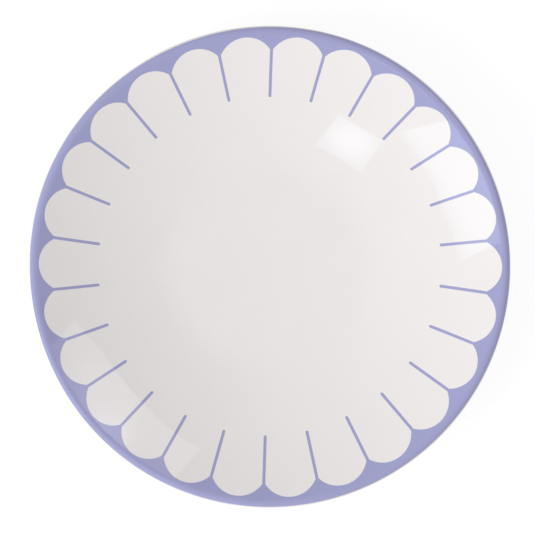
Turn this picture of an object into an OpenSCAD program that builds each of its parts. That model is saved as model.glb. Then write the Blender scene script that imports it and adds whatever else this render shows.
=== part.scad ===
// Scalloped dessert plate: a round coupe plate of white porcelain on a foot ring.
// Its glaze is white, with a lavender border around the rim. The border's inner edge is scalloped
// into petals, and strokes run inwards between them. The scallops are colour alone: the edge is round.
// Millimetres, +Z up. The origin is the middle of the foot ring, on the table.

/* [Plate] */
// Overall diameter, over the lip
plate_d = 210; // [190:1:240]
// Thickness of the floor, wall and lip, glaze included
wall_t = 5; // [4:0.1:7]
// Radius of the wall's curve, from the heel bend to the lip
wall_curve_r = 254; // [200:1:400]

/* [Well] */
// Diameter of the shallow dish in the middle
well_d = 76; // [60:1:84]
// Radius of the dish's curve
well_curve_r = 605; // [400:1:1200]
// Diameter where the heel bend ends and the wall begins
heel_d = 101; // [90:1:112]
// Radius of the heel bend
heel_curve_r = 115; // [80:1:200]

/* [Foot ring] */
// Outside diameter of the foot ring
foot_d = 118; // [104:1:132]
// Width of the foot ring
foot_w = 5; // [4:0.1:8]
// Height of the middle of the base above the table
base_clear = 2; // [1.5:0.1:4]
// Radius of the fillets between the foot ring and the underside
foot_fillet = 2; // [1:0.1:2.5]
// Radius of the edges of the bearing face
foot_round = 1; // [0.5:0.1:1.4]

/* [Glaze] */
// Thickness of the glaze
glaze_t = 0.3; // [0.2:0.05:0.5]
// Height of the bare strip at the bottom of the foot ring
bare_h = 1.5; // [1.4:0.1:2]

/* [Border] */
// Number of petals, and of strokes between them
petal_count = 26; // [16:2:36]
// Width of the band between the crowns of the petals and the edge of the plate
band_w = 4.2; // [2:0.1:8]
// Height of the scallops, from the corners between the petals to their crowns
scallop_h = 6; // [4:0.1:9]
// Length of a stroke, from the corners between the petals to its round end
stroke_len = 20.2; // [8:0.1:35]
// Width of a stroke
stroke_w = 1.3; // [0.6:0.1:2]

/* [Hidden] */
$fn = 240;

// How far a cut reaches past what it cuts
overrun = 1;
// Step of the finer part of a move
fine_step = 0.001;

plate_r = plate_d / 2;
lip_r = wall_t / 2;
foot_r = foot_d / 2;
foot_in_r = foot_r - foot_w;

// The upper face is a chain of three tangent arcs: well, heel and wall.
// They meet at stations, each with its radius from the axis and the sine of the slope there.
curve_r = [well_curve_r, heel_curve_r, wall_curve_r];
last = len(curve_r);
well_sin = well_d / 2 / well_curve_r;
heel_sin = well_sin + (heel_d - well_d) / 2 / heel_curve_r;
rim_sin = (wall_curve_r * heel_sin + plate_r - lip_r - heel_d / 2) / (wall_curve_r + lip_r);
station_r = [0, well_d / 2, heel_d / 2, plate_r - lip_r * (1 + rim_sin)];
station_sin = [0, well_sin, heel_sin, rim_sin];
rim_slope = asin(rim_sin);

// Height of a station, and centre of the arc that starts there
function station_cos(k) = sqrt(1 - pow(station_sin[k], 2));
function station_z(k) =
    k == 0 ? base_clear + wall_t
           : station_z(k - 1) + curve_r[k - 1] * (station_cos(k - 1) - station_cos(k));
function centre(k) =
    [station_r[k] - curve_r[k] * station_sin[k], station_z(k) + curve_r[k] * station_cos(k)];

lip_centre = [plate_r - lip_r, station_z(last) - lip_r * station_cos(last)];
plate_h = lip_centre.y + lip_r;

// A fillet of the foot ring touches the upright side of the ring and the underside of the plate.
// For a fillet centred at radius x: the sine of its angle about arc k, the arc it touches, its centre.
function touch_sin(k, x) = (x - centre(k).x) / (curve_r[k] + wall_t + foot_fillet);
function touch_arc(x) =
    [for (k = [0 : last - 1]) if (k == last - 1 || touch_sin(k, x) < station_sin[k + 1]) k][0];
function touch_angle(x) = asin(touch_sin(touch_arc(x), x));
function fillet_centre(x) =
    let (k = touch_arc(x)) [x, centre(k).y - (curve_r[k] + wall_t + foot_fillet) * cos(touch_angle(x))];

// The edge of each petal is an arc through its crown and the corners where it meets the strokes beside it
pitch = 360 / petal_count;
first_stroke = 90;
crown_r = plate_r - band_w;
corner_r = crown_r - scallop_h;
corner_angle = pitch / 2 - asin(stroke_w / 2 / corner_r);
petal_rise = crown_r - corner_r * cos(corner_angle);
petal_r = (pow(corner_r * sin(corner_angle), 2) + pow(petal_rise, 2)) / (2 * petal_rise);
petal_centre_r = crown_r - petal_r;
stroke_end_r = corner_r - stroke_len;

// Moves in whole millimetres, then in fine steps, then by the rest, so that no small digits are lost
module place(p) {
    whole = [for (v = p) round(v)];
    fine = [for (v = p - whole) round(v / fine_step) * fine_step];
    translate(whole) translate(fine) translate(p - whole - fine) children();
}

// One side of an upright line through the origin: the right for side 1, the left for side -1
module beside(side) {
    translate([side > 0 ? 0 : -plate_d, -plate_d]) square([plate_d, 2 * plate_d]);
}

module above() {
    translate([-plate_d, 0]) square([2 * plate_d, plate_d]);
}

module below(height) {
    translate([0, -2 * overrun]) square([plate_d, 2 * overrun + height]);
}

// All that lies under the upper face when that is sunk by a depth, out past the lip
module under_face(depth) {
    top = plate_h + wall_t;
    for (k = [0 : last - 1]) {
        from = station_r[k] + depth * station_sin[k];
        to = k == last - 1 ? plate_r + overrun : station_r[k + 1] + depth * station_sin[k + 1];
        difference() {
            polygon([[from, -overrun], [to, -overrun], [to, top], [from, top]]);
            place(centre(k)) circle(curve_r[k] + depth);
        }
    }
}

// The space under the plate beside its foot ring, outside it for side 1 and inside it for side -1,
// with the faces of the plate there sunk by a depth
module hollow(side, depth) {
    x = side > 0 ? foot_r + foot_fillet : foot_in_r - foot_fillet;
    fillet_r = foot_fillet + depth;
    difference() {
        intersection() {
            under_face(wall_t - depth);
            place(fillet_centre(x)) translate([-side * fillet_r, 0]) beside(side);
        }
        place(fillet_centre(x)) difference() {
            intersection() {
                above();
                rotate(touch_angle(x)) beside(-side);
            }
            circle(fillet_r);
        }
    }
}

// Section of the plate with its face, lip, underside and foot ring sunk by a depth
module plate_section(depth) {
    difference() {
        under_face(depth);
        place(lip_centre) difference() {
            rotate(rim_slope) beside(1);
            circle(lip_r - depth);
        }
        hollow(1, depth);
        hollow(-1, depth);
    }
}

// Section of the coats all around the body
module coat_section() {
    difference() {
        plate_section(0);
        plate_section(glaze_t);
        below(bare_h);
    }
}

// All that lies over the middle of the wall, or over the outermost edge of the lip
module upper_side() {
    difference() {
        translate([0, -overrun]) square([plate_r + overrun, plate_h + wall_t + overrun]);
        under_face(lip_r);
    }
    place(lip_centre) above();
}

// Section of the coat under the plate, outside the foot ring for side 1 and inside it for side -1
module under_coat(side) {
    difference() {
        coat_section();
        upper_side();
        translate([foot_r - foot_w / 2, 0]) beside(-side);
    }
}

// Bottom of the foot ring, with rounded edges
module foot_tip() {
    in_r = foot_in_r + glaze_t + foot_round;
    out_r = foot_r - glaze_t - foot_round;
    translate([in_r, 0]) square([out_r - in_r, foot_round]);
    for (edge = [[in_r, -foot_round], [out_r, 0]])
        translate([edge.x, foot_round]) intersection() {
            circle(foot_round);
            translate([edge.y, -foot_round]) square(foot_round);
        }
}

// Plan of one stroke, along X from its round end to the edge of the plate
module stroke_plan() {
    round_x = stroke_end_r + stroke_w / 2;
    translate([round_x, -stroke_w / 2]) square([plate_r - round_x, stroke_w]);
    translate([round_x, 0]) intersection() {
        circle(stroke_w / 2);
        beside(-1);
    }
}

// Plan of the white field: the well and the petals, less the strokes between them
module white_plan() {
    difference() {
        union() {
            circle(petal_centre_r);
            for (k = [1 : petal_count])
                rotate(first_stroke + (k - 1 / 2) * pitch) translate([petal_centre_r, 0]) circle(petal_r);
        }
        for (k = [1 : petal_count]) rotate(first_stroke + k * pitch) stroke_plan();
    }
}

// Plan of the border: all outside the white field, to past the edge of the plate
module border_plan() {
    difference() {
        circle(plate_r + overrun);
        white_plan();
    }
}

// The part of the upper face's coat that lies over a plan
module face_coat() {
    intersection() {
        rotate_extrude() intersection() {
            coat_section();
            upper_side();
        }
        translate([0, 0, -overrun]) linear_extrude(plate_h + 2 * overrun) children();
    }
}

module porcelain_body() {
    color("#efe9df") rotate_extrude() {
        difference() {
            plate_section(glaze_t);
            below(foot_round);
        }
        foot_tip();
    }
}

module face_glaze() {
    color("#e6e3e1") face_coat() white_plan();
}

module scallop_border() {
    color("#a2a4ca") face_coat() border_plan();
}

module back_glaze() {
    color("#e6e3e1") rotate_extrude() under_coat(1);
}

module base_glaze() {
    color("#e6e3e1") rotate_extrude() under_coat(-1);
}

porcelain_body();
face_glaze();
scallop_border();
back_glaze();
base_glaze();
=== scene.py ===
"""Scalloped dessert plate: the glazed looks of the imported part, its studio light and its camera."""

import math

import bpy
import numpy as np
from mathutils import Matrix, Vector

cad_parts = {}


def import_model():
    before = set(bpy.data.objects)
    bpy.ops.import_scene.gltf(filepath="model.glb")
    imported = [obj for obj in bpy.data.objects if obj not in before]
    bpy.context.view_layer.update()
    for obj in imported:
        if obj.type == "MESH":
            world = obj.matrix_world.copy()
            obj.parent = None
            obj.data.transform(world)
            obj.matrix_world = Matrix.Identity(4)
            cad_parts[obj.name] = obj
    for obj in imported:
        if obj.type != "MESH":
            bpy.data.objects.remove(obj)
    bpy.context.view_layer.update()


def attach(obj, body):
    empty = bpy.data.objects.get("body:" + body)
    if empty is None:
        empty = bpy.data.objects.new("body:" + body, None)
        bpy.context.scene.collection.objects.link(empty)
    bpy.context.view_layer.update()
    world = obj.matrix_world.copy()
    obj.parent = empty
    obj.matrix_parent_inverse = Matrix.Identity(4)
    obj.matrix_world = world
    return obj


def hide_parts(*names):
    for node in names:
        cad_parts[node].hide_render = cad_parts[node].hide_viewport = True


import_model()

MM = 0.001
RIGHT_ANGLE = math.pi / 2

# Sizes of the part, the same as in its source
PLATE_R = 105 * MM
WALL_T = 5 * MM
WALL_CURVE_R = 254 * MM
WELL_R = 38 * MM
WELL_CURVE_R = 605 * MM
HEEL_R = 50.5 * MM
HEEL_CURVE_R = 115 * MM
FOOT_R = 59 * MM
FOOT_W = 5 * MM
BASE_CLEAR = 2 * MM
FOOT_FILLET = 2 * MM
FOOT_ROUND = 1 * MM
GLAZE_T = 0.3 * MM
BARE_H = 1.5 * MM
PETALS = 26
BAND_W = 4.2 * MM
SCALLOP_H = 6 * MM
STROKE_LEN = 20.2 * MM
STROKE_W = 1.3 * MM

# The face is three tangent arcs: well, heel and wall.
# They meet at stations, each with its radius from the axis, its slope and its height.
LIP_R = WALL_T / 2
CURVE_R = [WELL_CURVE_R, HEEL_CURVE_R, WALL_CURVE_R]
WELL_SIN = WELL_R / WELL_CURVE_R
HEEL_SIN = WELL_SIN + (HEEL_R - WELL_R) / HEEL_CURVE_R
RIM_SIN = (WALL_CURVE_R * HEEL_SIN + PLATE_R - LIP_R - HEEL_R) / (WALL_CURVE_R + LIP_R)
STATION_SIN = [0.0, WELL_SIN, HEEL_SIN, RIM_SIN]
STATION_COS = [math.sqrt(1 - sine * sine) for sine in STATION_SIN]
STATION_SLOPE = [math.asin(sine) for sine in STATION_SIN]
LIP_START_R = PLATE_R - LIP_R * (1 + RIM_SIN)
STATION_R = [0.0, WELL_R, HEEL_R, LIP_START_R]
STATION_Z = [BASE_CLEAR + WALL_T]
for k, curve in enumerate(CURVE_R):
    STATION_Z.append(STATION_Z[k] + curve * (STATION_COS[k] - STATION_COS[k + 1]))
CENTRE = [
    (STATION_R[k] - curve * STATION_SIN[k], STATION_Z[k] + curve * STATION_COS[k])
    for k, curve in enumerate(CURVE_R)
]

# The lip is round. A turn about its centre is 0 at its outermost edge and a right angle at its top.
LIP_CENTRE = (PLATE_R - LIP_R, STATION_Z[-1] - LIP_R * STATION_COS[-1])
LIP_START_TURN = RIGHT_ANGLE + STATION_SLOPE[-1]
LIP_STOP_TURN = STATION_SLOPE[-1] - RIGHT_ANGLE

# Where the glaze begins to round off the bend from the wall to the top of the lip
SHOULDER_R = 100.8 * MM
SHOULDER_SIN = (SHOULDER_R - CENTRE[-1][0]) / WALL_CURVE_R

# The border's even plan: each petal is an arc through its crown and its corners with the strokes beside it
HALF_PITCH = math.pi / PETALS
FIRST_STROKE = RIGHT_ANGLE
CROWN_R = PLATE_R - BAND_W
CORNER_R = CROWN_R - SCALLOP_H
STROKE_END_R = CORNER_R - STROKE_LEN
CORNER_ANGLE = HALF_PITCH - math.asin(STROKE_W / 2 / CORNER_R)
PETAL_RISE = CROWN_R - CORNER_R * math.cos(CORNER_ANGLE)
PETAL_R = ((CORNER_R * math.sin(CORNER_ANGLE)) ** 2 + PETAL_RISE**2) / (2 * PETAL_RISE)
PETAL_CENTRE_R = CROWN_R - PETAL_R

# The border is laid on by hand, so it wanders from the even plan, in waves of 0, 1, 2... to the round.
# Each wave has its size and its phase in degrees. Strokes and petals turn by degrees.
# Ends and crowns move outwards, and a white edge of the lip is left outside the border.
TURN_WAVES = [(0, 0), (0.77, 33), (0.43, -53), (0.16, -88)]
END_WAVES = [(-0.21 * MM, 0), (0.20 * MM, 69), (0.45 * MM, 20), (0.25 * MM, 13)]
CROWN_WAVES = [
    (-0.29 * MM, 0),
    (0.13 * MM, 51),
    (0.15 * MM, -25),
    (0.20 * MM, 28),
    (0.22 * MM, -61),
    (0.17 * MM, 27),
]
EDGE_WAVES = [
    (0.59 * MM, 0),
    (0.11 * MM, -134),
    (0.05 * MM, 88),
    (0.10 * MM, -129),
    (0.13 * MM, 101),
    (0.10 * MM, -145),
]
# How much further out than the crowns' waves the corners between the petals lie
CORNER_RISE = 0.21 * MM
# Strokes lean by this many degrees of turn for each metre outwards, about this radius
STROKE_LEAN = -12.0
STROKE_LEAN_R = 86 * MM

# How fine the patches of glaze are: columns across a stroke and beside it, and rows of each stretch.
# The hidden inner faces of the floor and of the lip keep only every few rows.
STROKE_COLUMNS = 7
PETAL_COLUMNS = 13
FLOOR_ROWS = 31
FLOOR_SKIP = 2
CAP_ROWS = 7
STROKE_ROWS = 21
BAND_ROWS = 9
LIP_ROWS = 25
LIP_SKIP = 4
EDGE_ROWS = 13

# How fine the turned sections are: points of each arc of the face, degrees from point to point of the
# smaller arcs, and segments around the axis
FACE_POINTS = 14
BACK_POINTS = 24
LIP_STEP = 4
BODY_LIP_STEP = 8
FILLET_STEP = 6
FOOT_EDGE_STEP = 9
SEGMENTS = 8 * PETALS
BACK_SEGMENTS = 16 * PETALS

# Points of one mesh in the same cell of this size become one point
WELD_CELL = 0.0001 * MM

# Normal of a level face of a section that looks down
DOWN = (0, -1)

# A petal's edge is searched for between these radii, by halving the space this often
EDGE_SEARCH_R = (CORNER_R - 5 * MM, CROWN_R + 1 * MM)
HALVINGS = 60

# The floor without a pattern ends this far inside the strokes
FLOOR_MARGIN = 1 * MM


def waves(table, angle):
    """Sum of a table's waves at angles around the plate."""
    return sum(size * np.cos(k * angle - math.radians(phase)) for k, (size, phase) in enumerate(table))


def part_way(r, start, stop):
    """Share of the way from one radius to another, from 0 to 1."""
    return np.clip((r - start) / (stop - start), 0, 1)


def wander(r, angle):
    """Radius and angle on the plate where a point of the even border comes to lie."""
    corner = part_way(r, STROKE_END_R, CORNER_R)
    crown = part_way(r, CORNER_R, CROWN_R)
    inner = part_way(r, WELL_R, STROKE_END_R)
    outer = part_way(r, LIP_START_R, CROWN_R)
    move = waves(END_WAVES, angle) * (1 - corner) + waves(CROWN_WAVES, angle) * corner
    move = move + CORNER_RISE * (corner - crown)
    turn = waves(TURN_WAVES, angle) + STROKE_LEAN * (r - STROKE_LEAN_R) * inner
    return r + move * inner * outer, angle + np.radians(turn)


def about_axis(r, z, angle):
    """Radii and heights of a section, turned by angles about the plate's axis."""
    return np.stack([r * np.cos(angle), r * np.sin(angle), z + 0 * angle], -1)


def face_at(r):
    """Height, and sine of the slope, of the upper face at radii up to the start of the lip."""
    k = np.searchsorted(STATION_R[1:-1], r)
    centre, curve = np.array(CENTRE)[k], np.array(CURVE_R)[k]
    sine = (r - centre[..., 0]) / curve
    return centre[..., 1] - curve * np.sqrt(1 - sine * sine), sine


def facing(r, sine, angle):
    """Normals for the sines of the slope, with the bend into the lip spread over the shoulder."""
    share = (LIP_CENTRE[0] - r) / (LIP_CENTRE[0] - SHOULDER_R)
    sine = np.where((share > 0) & (share < 1), SHOULDER_SIN * share, sine)
    return about_axis(-sine, np.sqrt(1 - sine * sine), angle)


def on_face(r, angle):
    """Points and normals of the upper face."""
    r, angle = wander(r, angle)
    z, sine = face_at(r)
    return about_axis(r, z, angle), facing(r, sine, angle)


def on_lip(turn, angle):
    """Points and normals of the upper half of the lip."""
    r = LIP_CENTRE[0] + LIP_R * np.cos(turn)
    z = LIP_CENTRE[1] + LIP_R * np.sin(turn)
    return about_axis(r, z, angle), facing(r, -np.cos(turn), angle)


def border_end(angle):
    """Turn on the lip where the border ends and its white edge begins."""
    return np.arccos(1 - waves(EDGE_WAVES, angle) / LIP_R)


def add_object(name, data):
    """Puts data into the scene as a new object."""
    obj = bpy.data.objects.new(name, data)
    bpy.context.scene.collection.objects.link(obj)
    return obj


def grid_quads(rows, columns):
    """Corners of the quads between the points of a grid, which are counted row by row."""
    index = np.arange(rows * columns).reshape(rows, columns)
    return np.stack([index[:-1, :-1], index[1:, :-1], index[1:, 1:], index[:-1, 1:]], -1).reshape(-1, 4)


class Shell:
    """Collects grids of points with normals and welds them into one closed mesh."""

    # The points of each edge of a grid, and those next to them
    EDGES = {
        "first_row": (np.s_[0], np.s_[1]),
        "last_row": (np.s_[-1], np.s_[-2]),
        "first_column": (np.s_[:, 0], np.s_[:, 1]),
        "last_column": (np.s_[:, -1], np.s_[:, -2]),
    }

    def __init__(self):
        self.points = []
        self.normals = []
        self.quads = []
        self.count = 0

    def grid(self, point, normal):
        """Adds a grid of quads whose front is on the side of the normals."""
        quads = grid_quads(*point.shape[:2])
        flat, up = point.reshape(-1, 3), normal.reshape(-1, 3)
        corner = flat[quads]
        across = np.cross(corner[:, 2] - corner[:, 0], corner[:, 3] - corner[:, 1])
        back = (across * up[quads].sum(1)).sum(1) < 0
        quads[back] = quads[back][:, ::-1]
        self.points.append(flat)
        self.normals.append(up)
        self.quads.append(quads + self.count)
        self.count += len(flat)

    def wall(self, upper, lower, out):
        """Adds the narrow wall between two lines of points. Its front looks the way of out."""
        along = np.gradient(upper, axis=0)
        side = np.cross(along, upper - lower)
        side /= np.linalg.norm(side, axis=1)[:, None]
        side *= np.sign((side * out).sum(1))[:, None]
        self.grid(np.stack([upper, lower]), np.stack([side, side]))

    def coat(self, point, normal, edges=(), skip=1):
        """Adds a patch of glaze: outer face, inner face with every few rows, and walls at its open edges."""
        inner = point - GLAZE_T * normal
        last = len(point) - 1
        rows = [*range(0, last, skip), last]
        self.grid(point, normal)
        self.grid(inner[rows], -normal[rows])
        for edge in edges:
            cut, near = self.EDGES[edge]
            self.wall(point[cut], inner[cut], point[cut] - point[near])

    def build(self, name):
        """Welds the grids and makes the object, with the given normals on its corners."""
        points, normals = np.concatenate(self.points), np.concatenate(self.normals)
        cells = np.round(points / WELD_CELL).astype(np.int64)
        _, first, weld = np.unique(cells, axis=0, return_index=True, return_inverse=True)
        weld = weld.reshape(-1).tolist()
        faces, corners = [], []
        for quad in np.concatenate(self.quads).tolist():
            kept = {}
            for corner in quad:
                kept.setdefault(weld[corner], corner)
            if len(kept) > 2:
                faces.append(list(kept))
                corners.extend(kept.values())
        mesh = bpy.data.meshes.new(name)
        mesh.from_pydata(points[first].tolist(), [], faces)
        mesh.shade_smooth()
        mesh.normals_split_custom_set(normals[corners].tolist())
        return add_object(name, mesh)


def stroke_angle(r, across):
    """Angle from a stroke's middle line to a column across it: -1 at one side, 1 at the other."""
    return np.arcsin(across * STROKE_W / 2 / r)


def petal_angle(r, beside):
    """Angle from a stroke's middle line to a column beside it: 0 at its side, 1 at the petal's middle."""
    edge = np.arcsin(STROKE_W / 2 / r)
    return edge + beside * (HALF_PITCH - edge)


def petal_edge(beside):
    """Radius where a column beside a stroke meets the petal's arc."""
    low, high = (np.full_like(beside, r) for r in EDGE_SEARCH_R)
    for _ in range(HALVINGS):
        r = (low + high) / 2
        angle = HALF_PITCH - petal_angle(r, beside)
        inside = np.hypot(r * np.cos(angle) - PETAL_CENTRE_R, r * np.sin(angle)) < PETAL_R
        low, high = np.where(inside, r, low), np.where(inside, high, r)
    return (low + high) / 2


# Columns of one sector, which is centred on a stroke: across the stroke, and beside it along the petal's arc
ACROSS = np.sin(np.linspace(-1, 1, STROKE_COLUMNS) * RIGHT_ANGLE)
SWEEP = math.atan2(CORNER_R * math.sin(CORNER_ANGLE), CORNER_R * math.cos(CORNER_ANGLE) - PETAL_CENTRE_R)
BESIDE = 1 - np.sin(np.linspace(1, 0, PETAL_COLUMNS) * SWEEP) / math.sin(SWEEP)
SIDES = (1, -1)
SECTORS = [FIRST_STROKE + 2 * HALF_PITCH * k for k in range(PETALS)]

# Radii of a sector's columns at the petal's edge and at the stroke's round end, the radius where that end
# meets the stroke's straight sides, and the edge of the floor without a pattern
PETAL_EDGE = petal_edge(BESIDE)
PETAL_EDGE[0], PETAL_EDGE[-1] = CORNER_R, CROWN_R
ROUND_R = STROKE_END_R + STROKE_W / 2
STROKE_CAP = np.hypot(ROUND_R - STROKE_W / 2 * np.sqrt(1 - ACROSS**2), ACROSS * STROKE_W / 2)
CAP_SIDE_R = math.hypot(ROUND_R, STROKE_W / 2)
PLAIN_R = STROKE_END_R - FLOOR_MARGIN


def sector_columns(r):
    """Angles of all columns of a sector at one radius."""
    beside = petal_angle(r, BESIDE)[1:]
    return np.concatenate([-beside[::-1], stroke_angle(r, ACROSS), beside])


def rows_between(start, stop, count):
    """Rows of values from one line to another, with a value for every column."""
    return start + (stop - start) * np.linspace(0, 1, count)[:, None]


def face_glaze():
    """White glaze of the floor and the petals, with a slot for each stroke."""
    shell = Shell()
    for sector in SECTORS:
        r = rows_between(0, PLAIN_R, FLOOR_ROWS)
        shell.coat(*on_face(r, sector + sector_columns(PLAIN_R)), skip=FLOOR_SKIP)
        r = rows_between(PLAIN_R, STROKE_CAP, CAP_ROWS)
        shell.coat(*on_face(r, sector + stroke_angle(r, ACROSS)), edges=["last_row"])
        for side in SIDES:
            r = rows_between(PLAIN_R, CAP_SIDE_R, CAP_ROWS)
            shell.coat(*on_face(r, sector + side * petal_angle(r, BESIDE)))
            r = rows_between(CAP_SIDE_R, PETAL_EDGE, STROKE_ROWS)
            petal = on_face(r, sector + side * petal_angle(r, BESIDE))
            shell.coat(*petal, edges=["first_column", "last_row"])
    return shell.build("face_glaze_skin")


def scallop_border():
    """Lavender glaze of the strokes and of the band from the petals over the lip to its white edge."""
    shell = Shell()
    for sector in SECTORS:
        r = rows_between(STROKE_CAP, CORNER_R, STROKE_ROWS)
        stroke = on_face(r, sector + stroke_angle(r, ACROSS))
        shell.coat(*stroke, edges=["first_row", "first_column", "last_column"])
        r = rows_between(CORNER_R, LIP_START_R, BAND_ROWS)
        shell.coat(*on_face(r, sector + stroke_angle(r, ACROSS)))
        for side in SIDES:
            r = rows_between(PETAL_EDGE, LIP_START_R, BAND_ROWS)
            shell.coat(*on_face(r, sector + side * petal_angle(r, BESIDE)), edges=["first_row"])
        _, around = wander(LIP_START_R, sector + sector_columns(LIP_START_R))
        turn = rows_between(LIP_START_TURN, border_end(around), LIP_ROWS)
        shell.coat(*on_lip(turn, around), edges=["last_row"], skip=LIP_SKIP)
    return shell.build("scallop_border_skin")


def arc(centre, radius, start, stop, step, front=1):
    """A section's arc, with a point every few degrees. Its front is on the outside where front is 1."""
    count = max(2, 1 + math.ceil(abs(math.degrees(stop - start)) / step))
    a = np.linspace(start, stop, count)
    way = np.stack([np.cos(a), np.sin(a)], -1)
    return np.array(centre) + radius * way, front * way


def line(start, stop, normal):
    """A section's straight line."""
    return np.array([start, stop]), np.array([normal, normal], float)


def slope_arc(k, depth, start, stop, count, front):
    """Arc k of the face from one slope to another, sunk by a depth. Its front is below where front is 1."""
    a = np.linspace(start, stop, count)
    way = np.stack([np.sin(a), -np.cos(a)], -1)
    return np.array(CENTRE[k]) + (CURVE_R[k] + depth) * way, front * way


def chain(first, *others):
    """Runs of a section as one. Each starts where the one before it ends, so that point is taken once."""
    points = [first[0]] + [point[1:] for point, _ in others]
    normals = [first[1]] + [normal[1:] for _, normal in others]
    return np.concatenate(points), np.concatenate(normals)


def backwards(run, front=1):
    """A run from its end to its start, with its front on the other side where front is -1."""
    point, normal = run
    return point[::-1], front * normal[::-1]


def face_line(depth):
    """The upper face of a section, sunk by a depth, from the axis to the lip."""
    slopes = zip(STATION_SLOPE, STATION_SLOPE[1:])
    return chain(*(slope_arc(k, depth, *ends, FACE_POINTS, front=-1) for k, ends in enumerate(slopes)))


def fillet(side):
    """Centre of the foot ring's fillet, the arc of the section it touches and the slope where they touch."""
    x = FOOT_R + FOOT_FILLET if side > 0 else FOOT_R - FOOT_W - FOOT_FILLET
    for k, curve in enumerate(CURVE_R):
        reach = curve + WALL_T + FOOT_FILLET
        sine = (x - CENTRE[k][0]) / reach
        if sine < STATION_SIN[k + 1]:
            break
    return (x, CENTRE[k][1] - reach * math.sqrt(1 - sine * sine)), k, math.asin(sine)


def under_line(side, depth, low, count=FACE_POINTS):
    """The underside of a section, sunk by a depth, down to a height on the foot ring's side.

    It starts at the lip for side 1, outside the foot ring, and at the axis for side -1, inside it.
    """
    centre, touched, touch_slope = fillet(side)
    followed = range(touched, len(CURVE_R))[::-1] if side > 0 else range(touched + 1)
    runs = []
    for k in followed:
        start, stop = STATION_SLOPE[k : k + 2][::-side]
        if k == touched:
            stop = touch_slope
        runs.append(slope_arc(k, WALL_T - depth, start, stop, count, front=1))
    upright = math.pi if side > 0 else 0
    bend = arc(centre, FOOT_FILLET + depth, RIGHT_ANGLE + touch_slope, upright, FILLET_STEP, front=-1)
    end, normal = bend[0][-1], bend[1][-1]
    return chain(*runs, bend, line(end, (end[0], low), normal))


def full_round(segments):
    """Angles once around the plate, with the last the same as the first."""
    angle = np.linspace(0, 2 * math.pi, segments + 1)
    angle[-1] = 0
    return angle


def revolve(shell, runs, angle):
    """Turns the smooth runs of a section about the plate's axis."""
    for run in runs:
        shell.grid(*(about_axis(v[:, :1], v[:, 1:], angle) for v in run))


def revolve_coat(shell, outer, inner, angle):
    """Turns a coat about the axis: its outer face, its inner face and the foot between their ends."""
    foot = line(outer[0][-1], inner[0][-1], DOWN)
    revolve(shell, [outer, foot, backwards(inner, front=-1)], angle)


def back_glaze():
    """White glaze of the underside, from the border's end on the lip to the bare strip of the foot ring."""
    shell = Shell()
    around = full_round(BACK_SEGMENTS)
    turn = rows_between(border_end(around), 0, EDGE_ROWS)
    shell.coat(*on_lip(turn, around), edges=["first_row"])
    outer, inner = (
        chain(
            arc(LIP_CENTRE, LIP_R - depth, 0, LIP_STOP_TURN, LIP_STEP),
            under_line(1, depth, BARE_H, BACK_POINTS),
        )
        for depth in (0, GLAZE_T)
    )
    revolve_coat(shell, outer, inner, around)
    return shell.build("back_glaze_skin")


def base_glaze():
    """White glaze of the base inside the foot ring."""
    shell = Shell()
    revolve_coat(shell, under_line(-1, 0, BARE_H), under_line(-1, GLAZE_T, BARE_H), full_round(SEGMENTS))
    return shell.build("base_glaze_skin")


def porcelain_body():
    """The fired body under the glaze, with the rounded bare edge of the foot ring."""
    shell = Shell()
    out_r = FOOT_R - GLAZE_T - FOOT_ROUND
    in_r = FOOT_R - FOOT_W + GLAZE_T + FOOT_ROUND
    section = chain(
        face_line(GLAZE_T),
        arc(LIP_CENTRE, LIP_R - GLAZE_T, LIP_START_TURN, LIP_STOP_TURN, BODY_LIP_STEP),
        under_line(1, GLAZE_T, FOOT_ROUND),
        arc((out_r, FOOT_ROUND), FOOT_ROUND, 0, -RIGHT_ANGLE, FOOT_EDGE_STEP),
        line((out_r, 0), (in_r, 0), DOWN),
        arc((in_r, FOOT_ROUND), FOOT_ROUND, -RIGHT_ANGLE, -math.pi, FOOT_EDGE_STEP),
        backwards(under_line(-1, GLAZE_T, FOOT_ROUND)),
    )
    revolve(shell, [section], full_round(SEGMENTS))
    return shell.build("porcelain_body_skin")


# Linear colours of the two glazes and of the bare porcelain, each a pair between which it varies
WHITE_GLAZE = ((0.765, 0.732, 0.724), (0.785, 0.752, 0.744))
LAVENDER_GLAZE = ((0.305, 0.310, 0.535), (0.325, 0.330, 0.561))
BARE_PORCELAIN = ((0.80, 0.74, 0.65), (0.88, 0.84, 0.78))
SPECK = (0.55, 0.47, 0.38)
IOR = 1.5

# Glaze has clouds, fine grain and waves. Their scales are for each metre.
CLOUD_SCALE = 55.0
GRAIN_SCALE = 900.0
WAVE_SCALE = 70.0
WAVE_H = 0.006 * MM
GRAIN_H = 0.0004 * MM
# How far the sum of clouds and grain goes to either side of 1 between the two colours
MOTTLE = 0.35
# The clouds' values between which the roughness varies, and its values there
CLOUD_SPAN = (0.3, 0.7)
GLAZE_ROUGHNESS = (0.015, 0.025)

# Bare porcelain has sand and stains. Specks begin at one value of the sand and are full at another.
SAND_SCALE = 2600.0
STAIN_SCALE = 120.0
SAND_H = 0.08 * MM
SPECK_SPAN = (0.62, 0.72)
BARE_ROUGHNESS = (0.65, 0.9)

# Sockets of a node that mixes colours
MIX_SHARE = 0
MIX_FIRST = 6
MIX_SECOND = 7
MIX_RESULT = 2


def rgba(colour):
    """A colour with full cover."""
    return (*colour, 1)


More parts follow.
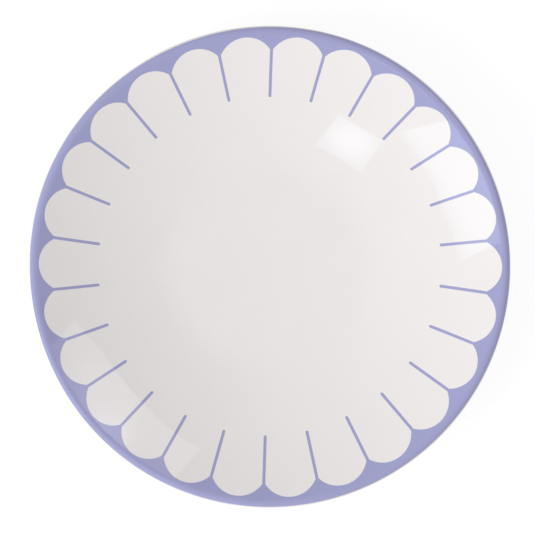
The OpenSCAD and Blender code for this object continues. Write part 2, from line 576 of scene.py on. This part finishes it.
class Nodes:
    """Adds nodes to the tree of a material or a world."""

    def __init__(self, owner):
        owner.use_nodes = True
        self.tree = owner.node_tree

    def fill(self, node, values):
        """Gives inputs of a node their constants or links."""
        for key, value in values.items():
            if isinstance(value, bpy.types.NodeSocket):
                self.tree.links.new(value, node.inputs[key])
            else:
                node.inputs[key].default_value = value

    def add(self, kind, values=None, **settings):
        """A new node with its settings and its inputs' values."""
        node = self.tree.nodes.new(kind)
        for key, value in settings.items():
            setattr(node, key, value)
        self.fill(node, values or {})
        return node

    def own(self, name, values):
        """Fills the inputs of a node that the tree has from the start."""
        self.fill(self.tree.nodes[name], values)

    def surface(self, shader):
        """Makes a shader the surface of the material, in place of the one it has from the start."""
        self.tree.nodes.remove(self.tree.nodes["Principled BSDF"])
        self.own("Material Output", {"Surface": shader.outputs[0]})

    def noise(self, scale, detail, roughness=0.5):
        """Noise in the plate's own space."""
        place = self.add("ShaderNodeTexCoord").outputs["Object"]
        values = {"Vector": place, "Scale": scale, "Detail": detail, "Roughness": roughness}
        return self.add("ShaderNodeTexNoise", values).outputs["Fac"]

    def spread(self, value, start, stop, low=0.0, high=1.0):
        """Maps values from start to stop onto values from low to high."""
        values = {"Value": value, "From Min": start, "From Max": stop, "To Min": low, "To Max": high}
        return self.add("ShaderNodeMapRange", values).outputs[0]

    def mix(self, share, first, second):
        """A colour between two others."""
        values = {MIX_SHARE: share, MIX_FIRST: first, MIX_SECOND: second}
        return self.add("ShaderNodeMix", values, data_type="RGBA").outputs[MIX_RESULT]

    def bump(self, height, **values):
        """Normals of a relief."""
        return self.add("ShaderNodeBump", {"Height": height, **values}).outputs["Normal"]

    def seen_ray(self):
        """A socket that is 1 for rays that show the background: straight, mirrored or through glass."""
        path = self.add("ShaderNodeLightPath").outputs
        seen = path["Is Camera Ray"]
        for kind in ("Is Glossy Ray", "Is Transmission Ray"):
            seen = self.add("ShaderNodeMath", {0: seen, 1: path[kind]}, operation="MAXIMUM").outputs[0]
        return seen


def glaze(name, colours):
    """Glossy glaze: cloudy colour, uneven gloss and the faint waves of a fired surface."""
    made = bpy.data.materials.new(name)
    nodes = Nodes(made)
    cloud = nodes.noise(CLOUD_SCALE, detail=4.0, roughness=0.55)
    grain = nodes.noise(GRAIN_SCALE, detail=3.0, roughness=0.6)
    blend = nodes.add("ShaderNodeMath", {0: cloud, 1: grain}, operation="ADD").outputs[0]
    share = nodes.spread(blend, 1 - MOTTLE, 1 + MOTTLE)
    wave = nodes.noise(WAVE_SCALE, detail=1.0)
    swell = nodes.bump(wave, Strength=1.0, Distance=WAVE_H)
    nodes.own("Principled BSDF", {
        "Base Color": nodes.mix(share, *map(rgba, colours)),
        "Roughness": nodes.spread(cloud, *CLOUD_SPAN, *GLAZE_ROUGHNESS),
        "Normal": nodes.bump(grain, Strength=1.0, Distance=GRAIN_H, Normal=swell),
        "IOR": IOR,
    })
    return made


def biscuit(name, colours):
    """Bare fired porcelain: matte, sandy and faintly speckled."""
    made = bpy.data.materials.new(name)
    nodes = Nodes(made)
    sand = nodes.noise(SAND_SCALE, detail=5.0, roughness=0.65)
    stain = nodes.noise(STAIN_SCALE, detail=3.0)
    tint = nodes.mix(stain, *map(rgba, colours))
    nodes.own("Principled BSDF", {
        "Base Color": nodes.mix(nodes.spread(sand, *SPECK_SPAN), tint, rgba(SPECK)),
        "Roughness": nodes.spread(sand, 0.0, 1.0, *BARE_ROUGHNESS),
        "Normal": nodes.bump(sand, Strength=0.7, Distance=SAND_H),
        "IOR": IOR,
    })
    return made


# The pieces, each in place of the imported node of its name
white = glaze("white_glaze", WHITE_GLAZE)
lavender = glaze("lavender_glaze", LAVENDER_GLAZE)
bare = biscuit("bare_porcelain", BARE_PORCELAIN)

for make, node_name, slot, finish in (
    (porcelain_body, "porcelain_body", "bare_porcelain", bare),
    (face_glaze, "face_glaze", "white_glaze", white),
    (scallop_border, "scallop_border", "lavender_glaze", lavender),
    (back_glaze, "back_glaze", "white_glaze", white),
    (base_glaze, "base_glaze", "white_glaze", white),
):
    piece = make()
    piece.data.materials.append(finish)
    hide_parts(node_name)
    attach(piece, "root")

# The pattern and the photograph differ by a small turn, in degrees, which the camera and the lights take up
PHOTO_TURN = 0.671
TURN = Matrix.Rotation(math.radians(PHOTO_TURN), 3, "Z")

# The photograph's size in pixels, the pixel where it shows the plate's axis at the height that the camera
# aims at, and its pixels for each metre there
PHOTO_W = 535
PHOTO_H = 536
AXIS_X = 269.698
AXIS_Y = 267.460
AIM_Z = 20 * MM
PIXELS_PER_M = 2.2954 / MM

# The camera's distance, the degrees by which it leans to the right and up in the picture, and its sensor
CAMERA_FAR = 1.5
CAMERA_LEAN = (-2.09, 2.66)
SENSOR_W = 36
NEAREST = 0.01
FARTHEST = 50

# The floor reaches far past the picture and lies just under the plate. Its greys are for light that bounces
# off it and for what is seen of it, to which its glow is added.
FLOOR_REACH = 6.0
FLOOR_Z = -0.05 * MM
FLOOR_GREY = (0.8, 0.8, 0.8)
FLOOR_SEEN_GREY = (0.15, 0.15, 0.15)
FLOOR_GLOW = 0.88

# Colour of the world, and its strength as even light from all round and as the background
WORLD_WHITE = (1, 1, 1)
WORLD_LIGHT = 0.715
BACKGROUND = 1.0

# Panels lie this high, with this many points along each side. Their places are in millimetres.
CARD_H = 1000
CARD_POINTS = 41
# How much closer a panel's rows lie at its near line, and how steeply its hot spots end at their reach
ROW_POWER = 2
SPOT_POWER = 4


def camera():
    """The camera above the plate, leaning a little to the upper left of the picture."""
    x, y = (math.sin(math.radians(lean)) for lean in CAMERA_LEAN)
    back = TURN @ Vector((x, y, 0))
    back.z = math.sqrt(1 - back.x**2 - back.y**2)
    right = (TURN @ Vector((0, 1, 0))).cross(back).normalized()
    up = back.cross(right)
    aim = Vector((0, 0, AIM_Z))
    aim += right * (PHOTO_W / 2 - AXIS_X) / PIXELS_PER_M
    aim -= up * (PHOTO_H / 2 - AXIS_Y) / PIXELS_PER_M
    data = bpy.data.cameras.new("camera")
    data.sensor_width = SENSOR_W
    data.lens = PIXELS_PER_M * CAMERA_FAR * SENSOR_W / PHOTO_H
    data.clip_start = NEAREST
    data.clip_end = FARTHEST
    obj = add_object("camera", data)
    axes = Matrix((right, up, back)).transposed().to_4x4()
    obj.matrix_world = Matrix.Translation(aim + back * CAMERA_FAR) @ axes
    bpy.context.scene.camera = obj


def floor():
    """A pale floor, white to the camera except in the plate's shadow. From below it is clear."""
    mesh = bpy.data.meshes.new("floor")
    corners = [(x * FLOOR_REACH, y * FLOOR_REACH, FLOOR_Z) for x, y in ((-1, -1), (1, -1), (1, 1), (-1, 1))]
    mesh.from_pydata(corners, [], [(0, 1, 2, 3)])
    obj = add_object("floor", mesh)
    made = bpy.data.materials.new("floor")
    nodes = Nodes(made)
    plain = nodes.add("ShaderNodeBsdfDiffuse", {"Color": rgba(FLOOR_GREY)})
    shade = nodes.add("ShaderNodeBsdfDiffuse", {"Color": rgba(FLOOR_SEEN_GREY)})
    glow = nodes.add("ShaderNodeEmission", {"Strength": FLOOR_GLOW})
    seen = nodes.add("ShaderNodeAddShader", {0: shade.outputs[0], 1: glow.outputs[0]})
    values = {0: nodes.seen_ray(), 1: plain.outputs[0], 2: seen.outputs[0]}
    top = nodes.add("ShaderNodeMixShader", values)
    below = nodes.add("ShaderNodeNewGeometry").outputs["Backfacing"]
    clear = nodes.add("ShaderNodeBsdfTransparent")
    nodes.surface(nodes.add("ShaderNodeMixShader", {0: below, 1: top.outputs[0], 2: clear.outputs[0]}))
    mesh.materials.append(made)


def lamp(name, azimuth, tilt, distance, size, power):
    """A soft lamp that faces the plate, placed by its azimuth in the picture and its tilt from overhead."""
    data = bpy.data.lights.new(name, "AREA")
    data.shape = "DISK"
    data.size = size
    data.energy = power
    obj = add_object(name, data)
    a, t = math.radians(azimuth), math.radians(tilt)
    way = TURN @ Vector((math.cos(a) * math.sin(t), math.sin(a) * math.sin(t), math.cos(t)))
    obj.location = way * distance
    obj.rotation_mode = "QUATERNION"
    obj.rotation_quaternion = way.to_track_quat("Z", "Y")
    obj.visible_glossy = False
    obj.visible_camera = False


def along_line(corners):
    """Places spaced along a line of a few corners, with the same count between each two."""
    corners = np.array(corners, float)
    share, at = np.linspace(0, 1, CARD_POINTS), np.linspace(0, 1, len(corners))
    return np.stack([np.interp(share, at, place) for place in corners.T], -1)


def card(name, colour, near, far, fade, hot):
    """A lit panel overhead that shows only as a reflection.

    It lies between a near and a far line. Fade gives its strength at shares of the way from one to the
    other, and hot gives the place, reach and added strength of each hot spot.
    """
    share = np.linspace(0, 1, CARD_POINTS) ** ROW_POWER
    start, stop = along_line(near), along_line(far)
    flat = (start + (stop - start) * share[:, None, None]).reshape(-1, 2)
    level = np.repeat(np.interp(share, *zip(*fade)), CARD_POINTS)
    for place, reach, added in hot:
        level += added * np.exp(-((np.linalg.norm(flat - place, axis=1) / reach) ** SPOT_POWER))
    mesh = bpy.data.meshes.new(name)
    points = [TURN @ Vector((x, y, CARD_H)) * MM for x, y in flat]
    mesh.from_pydata(points, [], grid_quads(CARD_POINTS, CARD_POINTS).tolist())
    mesh.attributes.new("level", "FLOAT", "POINT").data.foreach_set("value", level)
    obj = add_object(name, mesh)
    made = bpy.data.materials.new(name)
    nodes = Nodes(made)
    strength = nodes.add("ShaderNodeAttribute", attribute_name="level").outputs["Fac"]
    nodes.surface(nodes.add("ShaderNodeEmission", {"Color": rgba(colour), "Strength": strength}))
    mesh.materials.append(made)
    obj.visible_camera = False
    obj.visible_diffuse = False
    obj.visible_shadow = False
    obj.visible_transmission = False


def world():
    """Even light from all round, white where the camera sees it."""
    made = bpy.data.worlds.new("studio")
    bpy.context.scene.world = made
    nodes = Nodes(made)
    level = nodes.spread(nodes.seen_ray(), 0.0, 1.0, WORLD_LIGHT, BACKGROUND)
    nodes.own("Background", {"Strength": level, "Color": rgba(WORLD_WHITE)})


# The studio
camera()
floor()
world()
lamp("key", azimuth=-155, tilt=60, distance=5, size=3, power=172)
card(
    "softbox",
    colour=(0.85, 1.0, 1.12),
    near=[(-312, -423), (-370, -335), (-410, -248), (-446, -156), (-478, -67)],
    far=[(-620, -560), (-680, -500), (-730, -420), (-780, -320), (-820, -207)],
    fade=[(0, 1.5), (0.05, 2.1), (0.16, 2.65), (1, 2.65)],
    hot=[((-530, -280), 120, 0.3)],
)
card(
    "window",
    colour=(0.87, 1.0, 1.10),
    near=[(-74, -345), (-185, -277)],
    far=[(-142, -454), (-258, -382)],
    fade=[(0, 2.2), (1, 2.2)],
    hot=[((-166, -371), 55, 1.7)],
)
card(
    "fill_panel",
    colour=(1.0, 0.98, 1.06),
    near=[(599, 95), (500, 181), (422, 278), (341, 367), (290, 412), (232, 446)],
    far=[(782, 225), (715, 370), (640, 500), (540, 610), (480, 655), (415, 681)],
    fade=[(0, 1.95), (1, 1.95)],
    hot=[((540, 350), 140, 1.1), ((530, 430), 75, 1.1), ((390, 475), 110, 0.3)],
)

bpy.context.scene.view_settings.view_transform = "Standard"
